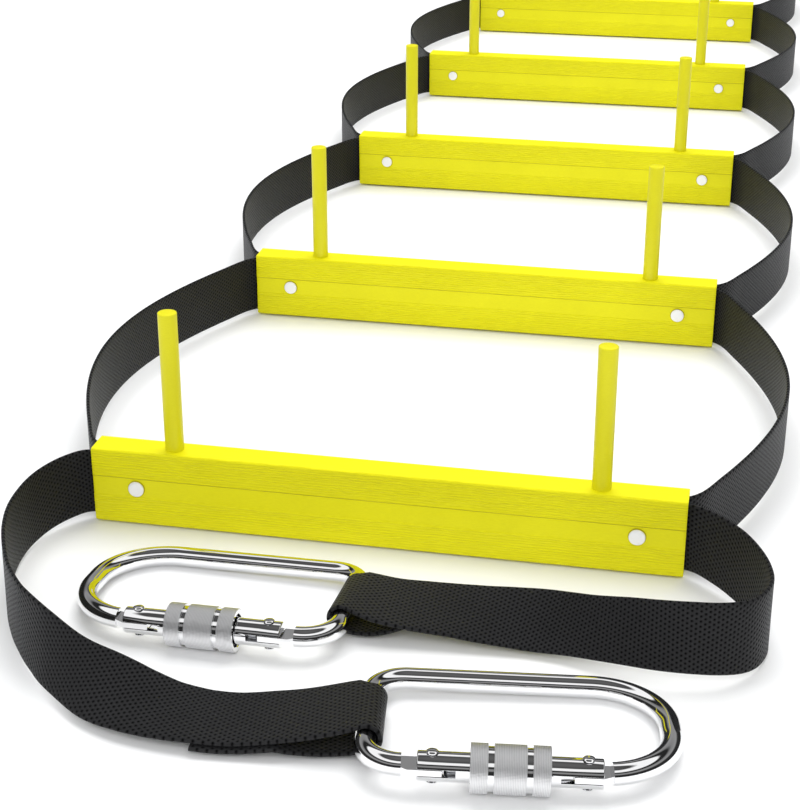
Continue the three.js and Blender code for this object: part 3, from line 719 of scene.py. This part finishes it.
rung_shape = rung_mesh()
rod_upright = (upright(rod_shape[0]), rod_shape[1])
rivet_forward = (rivet_shape[0][:, [1, 0, 2]], [tuple(reversed(f)) for f in rivet_shape[1]])
for number in range(1, RUNGS + 1):
    y = FIRST_RUNG_Y + (number - 1) * PITCH
    body = f"rung_{number}"
    shared_piece("rung", f"rung_tube_{number}", rung_shape, RUNG_YELLOW, (0, y, RUNG_CENTRE_Z), body, body)
    for side, sign in SIDES.items():
        shared_piece("rod", f"rod_{number}_{side}", rod_upright, ROD_YELLOW, (sign * ROD_X, y, 0), body,
                     f"rung_{number}_{side}_standoff_rod")
        shared_piece("rivet", f"rivet_{number}_{side}", rivet_forward, RIVET, (sign * RIVET_X, y, RIVET_Z),
                     body, f"rung_{number}_{side}_rivet")


# ---------------------------------------------------------------- carabiners
ANCHOR_CORNER = 26 * MM
STRAP_CORNER = 13 * MM
GATE_RADIUS = 5.1 * MM
HINGE_U = -29 * MM
LATCH_U = 22.4 * MM
TONGUE_RADIUS = 3.6 * MM
TONGUE_OUTER_EDGE = 4.9 * MM
TONGUE_THICKNESS = 2.2 * MM
FORK_SLOT = 2.8 * MM
SLEEVE_CENTRE = -3.2 * MM
SLEEVE_BAND = 5.9 * MM
SLEEVE_MIDDLE = 7.9 * MM
KNURL_TEETH = 110
KNURL_DEPTH = 0.05 * MM


def bar_line():
    """The bar's centreline from the nose round to the hinge, with its outward directions."""
    places, ways = [], []

    def arc(cx, cy, radius, first, last, steps):
        for i in range(steps + 1):
            angle = math.radians(first + (last - first) * i / steps)
            way = np.array([math.cos(angle), math.sin(angle), 0])
            places.append(np.array([cx, cy, 0]) + way * radius)
            ways.append(way)

    au, av = LOOP_HALF_LENGTH - ANCHOR_CORNER, LOOP_HALF_WIDTH - ANCHOR_CORNER
    su, sv = -(LOOP_HALF_LENGTH - STRAP_CORNER), LOOP_HALF_WIDTH - STRAP_CORNER
    arc(au, -av, ANCHOR_CORNER, -81, 0, 30)
    arc(au, av, ANCHOR_CORNER, 0, 90, 34)
    arc(su, sv, STRAP_CORNER, 90, 180, 22)
    arc(su, -sv, STRAP_CORNER, 180, 270, 22)
    return np.array(places), np.array(ways)


def bar_mesh():
    places, ways = bar_line()
    steps = 32
    rings = []
    for place, way in zip(places, ways):
        ring = []
        for j in range(steps):
            angle = 2 * math.pi * j / steps
            ring.append(place + BAR_RADIUS * (way * math.cos(angle) + np.array([0, 0, math.sin(angle)])))
        rings.append(ring)
    return np.array(rings).reshape(-1, 3), [tuple(reversed(f)) for f in capped(len(rings), steps)]


def plate(outline, thickness):
    """A flat plate in the carabiner's plane."""
    count = len(outline)
    vertices = [(x, y, s * thickness / 2) for s in (-1, 1) for x, y in outline]
    return np.array(vertices), capped(2, count)


def arc_points(u, radius, first, last, steps):
    """Points round a pin at u on the gate's axis, angles in degrees."""
    angles = np.radians(np.linspace(first, last, steps + 1))
    return [(u + radius * math.cos(a), radius * math.sin(a)) for a in angles]


def hinge_tongue():
    """A tongue filling the gate's fork, flush with its skin outside and round about the pin inside."""
    bar_end = -(LOOP_HALF_LENGTH - STRAP_CORNER)
    r, flush = TONGUE_RADIUS, TONGUE_OUTER_EDGE
    outline = [(bar_end - 2 * MM, -r), (bar_end, -r), (bar_end + 2 * MM, -flush),
               (HINGE_U + r - 0.25 * MM, -flush), (HINGE_U + r, -flush + 0.25 * MM)]
    outline += arc_points(HINGE_U, r, 0, 90, 12)
    outline.append((bar_end - 2 * MM, r))
    return [(x, y - LOOP_HALF_WIDTH) for x, y in outline]


def nose_tongue():
    """A tongue with a notch for the latch pin, open on the inner side."""
    notch, flush = 2.1 * MM, TONGUE_OUTER_EDGE
    high, tip = TONGUE_RADIUS - 0.2 * MM, 17.7 * MM
    outline = [(31 * MM, -3 * MM), (31 * MM, high), (LATCH_U + notch, high)]
    outline += arc_points(LATCH_U, notch, 0, -180, 12)
    outline += [(LATCH_U - notch, high - 1 * MM), (tip, high - 1 * MM), (tip, -flush + 0.25 * MM),
                (tip + 0.25 * MM, -flush), (27.5 * MM, -flush)]
    return [(x, y - LOOP_HALF_WIDTH) for x, y in outline]


def evaluated(obj):
    graph = bpy.context.evaluated_depsgraph_get()
    return bpy.data.meshes.new_from_object(obj.evaluated_get(graph))


def carved(name, shape, cutters, material, bevel):
    """Cuts the cutters out of a shape and rounds the edges that are left."""
    made = mesh_object(name, *shape, material, 40)
    tools = []
    for cutter in cutters:
        tool = mesh_object("cutter", *cutter, material, 40)
        modifier = made.modifiers.new("cut", "BOOLEAN")
        modifier.operation = "DIFFERENCE"
        modifier.solver = "EXACT"
        modifier.object = tool
        tools.append(tool)
    edge = made.modifiers.new("edge", "BEVEL")
    edge.width = bevel
    edge.segments = 2
    edge.limit_method = "ANGLE"
    edge.angle_limit = math.radians(40)
    mesh = evaluated(made)
    made.modifiers.clear()
    made.data = mesh
    mesh.polygons.foreach_set("use_smooth", [True] * len(mesh.polygons))
    mesh.set_sharp_from_angle(angle=math.radians(40))
    for tool in tools:
        bpy.data.objects.remove(tool)
    return made


def cuboid(x0, x1, y0, y1, z0, z1):
    vertices = np.array([(x, y, z) for x in (x0, x1) for y in (y0, y1) for z in (z0, z1)])
    faces = [(0, 1, 3, 2), (4, 6, 7, 5), (0, 4, 5, 1), (2, 3, 7, 6), (0, 2, 6, 4), (1, 5, 7, 3)]
    return vertices, faces


def gate_shape():
    profile = rounded(GATE_RADIUS, -34 * MM, 27.5 * MM, 0.4 * MM)
    middle = [(GATE_RADIUS, u * MM) for u in (-26, -15, 9, 18)]
    profile = profile[:5] + middle + profile[5:]
    vertices, faces = turned(profile, 64)
    return shift(vertices, y=-LOOP_HALF_WIDTH), faces


def gate_cutters():
    y = -LOOP_HALF_WIDTH
    wide = 9 * MM
    slot = FORK_SLOT / 2
    bore, faces = turned([(0, -25.4 * MM), (2.6 * MM, -25.4 * MM), (2.6 * MM, 8 * MM), (0, 8 * MM)], 24)
    return [
        cuboid(-36 * MM, -21.1 * MM, y - wide, y + wide, -slot, slot),
        cuboid(13.4 * MM, 30 * MM, y - wide, y + wide, -slot, slot),
        (shift(bore, y=y), faces),
    ]


def revolved(loop, steps, radius_of):
    """A ring-shaped solid about X: loop is closed [radius, place]; radius_of shapes each point."""
    vertices = []
    for radius, place, kind in loop:
        for i in range(steps):
            angle = 2 * math.pi * i / steps
            r = radius_of(radius, place, kind, angle)
            vertices.append((place, r * math.cos(angle), r * math.sin(angle)))
    return np.array(vertices), [tuple(reversed(f)) for f in ring_faces(len(loop), steps, 0, True)]


def sleeve_shape():
    """The screw sleeve: a band at each end and a wider one between, parted by two grooves."""
    half, outer, bore, groove = 13.3 * MM, 8.3 * MM, 6.3 * MM, 7.5 * MM
    edge = 0.12 * MM
    loop = [(bore + 0.3 * MM, -half, 0), (outer - edge, -half, 0)]
    bands = [(-half, -half + SLEEVE_BAND), (-half + SLEEVE_MIDDLE, half - SLEEVE_MIDDLE),
             (half - SLEEVE_BAND, half)]
    for i, (low, high) in enumerate(bands):
        if i:
            loop += [(groove, low, 0), (outer - edge, low, 0)]
        loop += [(outer, low + edge, 1), (outer, high - edge, 1), (outer - edge, high, 0)]
        if i < len(bands) - 1:
            loop.append((groove, high, 0))
    loop += [(bore + 0.3 * MM, half, 0), (bore, half - 0.3 * MM, 0), (bore, -half + 0.3 * MM, 0)]

    def radius_of(radius, place, kind, angle):
        if kind == 0:
            return radius
        tooth = abs((angle * KNURL_TEETH / (2 * math.pi)) % 1 - 0.5) * 2
        return radius - KNURL_DEPTH * tooth

    vertices, faces = revolved(loop, KNURL_TEETH * 4, radius_of)
    return shift(vertices, SLEEVE_CENTRE, -LOOP_HALF_WIDTH), faces


def thread_shape():
    pitch = 1.0 * MM
    low, high, rows = -13.8 * MM, 7.8 * MM, 130
    loop = [(4.7 * MM, low, 0)]
    for i in range(rows + 1):
        loop.append((5.95 * MM, low + (high - low) * i / rows, 1))
    loop.append((4.7 * MM, high, 0))

    def radius_of(radius, place, kind, angle):
        if kind == 0:
            return radius
        phase = (place / pitch - angle / (2 * math.pi)) % 1
        fade = min(1, (place - low) / (0.8 * MM), (high - place) / (0.8 * MM))
        return radius - 0.5 * MM * abs(phase - 0.5) * 2 - 0.3 * MM * (1 - fade)

    vertices, faces = revolved(loop, 48, radius_of)
    return shift(vertices, y=-LOOP_HALF_WIDTH), faces


def pin_shape(place):
    top = 6.1 * MM
    base = 5.25 * MM
    half = [(1.5 * MM, base), (2.1 * MM, base), (2.1 * MM, base + 0.35 * MM), (1.8 * MM, base + 0.62 * MM),
            (1.2 * MM, top - 0.08 * MM), (0.6 * MM, top - 0.02 * MM), (0, top)]
    profile = [(r, -z) for r, z in half][::-1] + half
    vertices, faces = turned(profile, 32)
    return shift(upright(vertices), place, -LOOP_HALF_WIDTH), faces


def place_matrix(side):
    centre, u, v, w = carabiner_basis(side)
    matrix = Matrix.Identity(4)
    for row in range(3):
        matrix[row][0], matrix[row][1], matrix[row][2], matrix[row][3] = u[row], v[row], w[row], centre[row]
    return matrix


def carabiner(side):
    matrix = place_matrix(side)
    body = merged([
        bar_mesh(),
        plate(hinge_tongue(), TONGUE_THICKNESS),
        plate(nose_tongue(), TONGUE_THICKNESS),
    ])
    sleeve = sleeve_shape()
    beside = sleeve[0] + (0, LOOP_HALF_WIDTH, 0)
    sleeve_finish = [(x, math.hypot(y, z), 0) for x, y, z in beside]
    pieces = [
        (mesh_object(f"{side}_hook", *body, CHROME, 40), "carabiner", f"{side}_carabiner_body", "chrome"),
        (carved(f"{side}_gate_tube", gate_shape(), gate_cutters(), CHROME, 0.12 * MM), "gate",
         f"{side}_carabiner_gate", "chrome"),
        (mesh_object(f"{side}_gate_thread", *thread_shape(), CHROME, 60), "gate", None, "chrome"),
        (mesh_object(f"{side}_hinge_pin", *pin_shape(HINGE_U), CHROME, 40), "gate",
         f"{side}_gate_hinge_rivet", "chrome"),
        (mesh_object(f"{side}_latch_pin", *pin_shape(LATCH_U), CHROME, 40), "gate",
         f"{side}_gate_latch_rivet", "chrome"),
        (mesh_object(f"{side}_sleeve", *sleeve, TURNED, 30, sleeve_finish), "sleeve",
         f"{side}_screw_sleeve", "brushed_steel"),
    ]
    made = []
    for obj, body_name, node, slot in pieces:
        obj.data.transform(matrix)
        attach(obj, f"{side}_{body_name}")
        if node:
            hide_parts(node)
        made.append(obj)
    for node in (f"{side}_gate_spring", f"{side}_gate_plunger"):
        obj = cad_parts[node]
        obj.data.materials.clear()
        obj.data.materials.append(SPRING_STEEL)
        made.append(obj)
    return made


for side in SIDES:
    hardware = carabiner(side)


# ---------------------------------------------------------------- stage and light
def floor_material():
    g = Graph("studio_floor")
    tone = g.noise(g.position(), 3, 2)
    colour = g.ramp(tone, [(0.3, (0.92, 0.92, 0.92)), (0.7, (0.94, 0.94, 0.94))])
    return g.finish(Base_Color=colour, Roughness=0.6, Specular_IOR_Level=0.2)


floor = mesh_object("floor", np.array([(-9, -9, 0), (9, -9, 0), (9, 9, 0), (-9, 9, 0)]), [(0, 1, 2, 3)],
                    floor_material())


def softbox(name, place, target, width, height, power):
    data = bpy.data.lights.new(name, "AREA")
    data.shape = "RECTANGLE"
    data.size = width
    data.size_y = height
    data.energy = power
    lamp = bpy.data.objects.new(name, data)
    lamp.location = place
    lamp.rotation_mode = "QUATERNION"
    lamp.rotation_quaternion = (Vector(target) - Vector(place)).to_track_quat("-Z", "Y")
    lamp.visible_glossy = False
    bpy.context.collection.objects.link(lamp)


softbox("overhead", (0.0, 0.35, 1.9), (0, -0.25, 0), 1.7, 1.9, 43)
softbox("left_edge", (-1.7, -1.2, 0.8), (0, -0.6, 0), 0.7, 0.7, 4)
softbox("front_fill", (0.3, -1.9, 1.0), (0, -0.6, 0), 1.2, 0.9, 11.5)


def studio_world():
    world = bpy.data.worlds.new("studio")
    world.use_nodes = True
    tree = world.node_tree
    background = tree.nodes["Background"]
    path = tree.nodes.new("ShaderNodeLightPath")
    direction = tree.nodes.new("ShaderNodeTexCoord")
    split = tree.nodes.new("ShaderNodeSeparateXYZ")
    tree.links.new(direction.outputs["Generated"], split.inputs[0])
    ramp = tree.nodes.new("ShaderNodeValToRGB")
    # Floor below, then dark, with a grey band and a bright ring.
    stops = [(0.0, 0.9), (0.49, 0.9), (0.505, 0.02), (0.66, 0.03), (0.70, 0.3), (0.76, 0.22), (0.79, 0.02),
             (0.835, 0.02), (0.85, 1.0), (0.93, 1.0), (0.95, 0.05), (1.0, 0.12)]
    remap = tree.nodes.new("ShaderNodeMath")
    remap.operation = "MULTIPLY_ADD"
    remap.inputs[1].default_value = 0.5
    remap.inputs[2].default_value = 0.5
    tree.links.new(split.outputs["Z"], remap.inputs[0])
    tree.links.new(remap.outputs[0], ramp.inputs["Fac"])
    elements = ramp.color_ramp.elements
    while len(elements) < len(stops):
        elements.new(0.5)
    for element, (place, value) in zip(elements, stops):
        element.position = place
        element.color = (value, value, value, 1)
    mix = tree.nodes.new("ShaderNodeMix")
    mix.data_type = "RGBA"
    mix.inputs["A"].default_value = (0.48, 0.49, 0.5, 1)
    tree.links.new(path.outputs["Is Glossy Ray"], mix.inputs["Factor"])
    tree.links.new(ramp.outputs["Color"], mix.inputs["B"])
    sight = tree.nodes.new("ShaderNodeMix")
    sight.data_type = "RGBA"
    tree.links.new(path.outputs["Is Camera Ray"], sight.inputs["Factor"])
    tree.links.new(mix.outputs["Result"], sight.inputs["A"])
    sight.inputs["B"].default_value = (1, 1, 1, 1)
    tree.links.new(sight.outputs["Result"], background.inputs["Color"])
    bpy.context.scene.world = world


studio_world()
